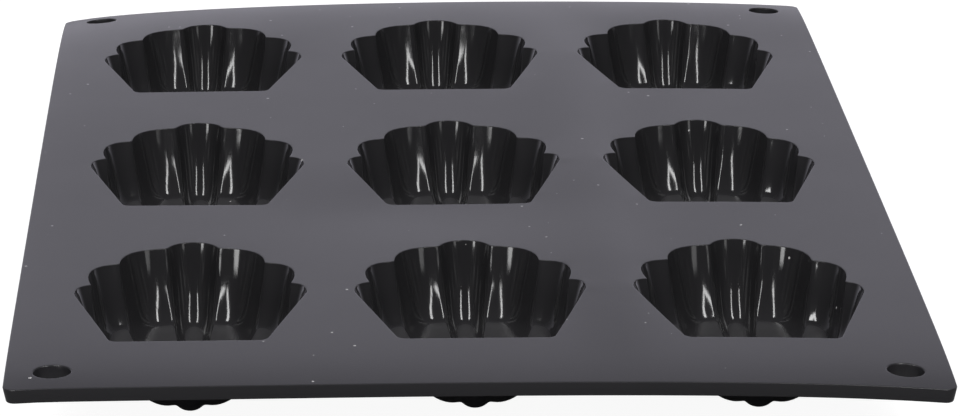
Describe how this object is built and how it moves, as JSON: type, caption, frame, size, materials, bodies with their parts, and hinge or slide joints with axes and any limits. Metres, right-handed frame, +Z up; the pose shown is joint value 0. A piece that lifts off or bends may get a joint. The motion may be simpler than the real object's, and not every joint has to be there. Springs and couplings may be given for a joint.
{
  "type": "madeleine mould",
  "caption": "Flexible silicone mould: a thin sheet that carries scallop-shaped cups for small sponge cakes, with a round hole in each corner.",
  "frame": {"origin": "under the middle of the sheet, on the surface that the cups stand on", "axes": "+X across the sheet, +Y along the sheet from the cups' narrow ends to their wide ends, +Z up"},
  "size_m": [0.1748, 0.2998, 0.018],
  "materials": {
    "satin_silicone": "satin moulded silicone with a fine matt grain",
    "gloss_silicone": "smooth glossy moulded silicone, the release surface of the cups"
  },
  "bodies": {
    "root": {"sheet": "satin_silicone", "cup_front_left": "gloss_silicone", "cup_front_middle": "gloss_silicone", "cup_front_right": "gloss_silicone", "cup_middle_left": "gloss_silicone", "cup_middle_middle": "gloss_silicone", "cup_middle_right": "gloss_silicone", "cup_back_left": "gloss_silicone", "cup_back_middle": "gloss_silicone", "cup_back_right": "gloss_silicone"}
  },
  "joints": []
}
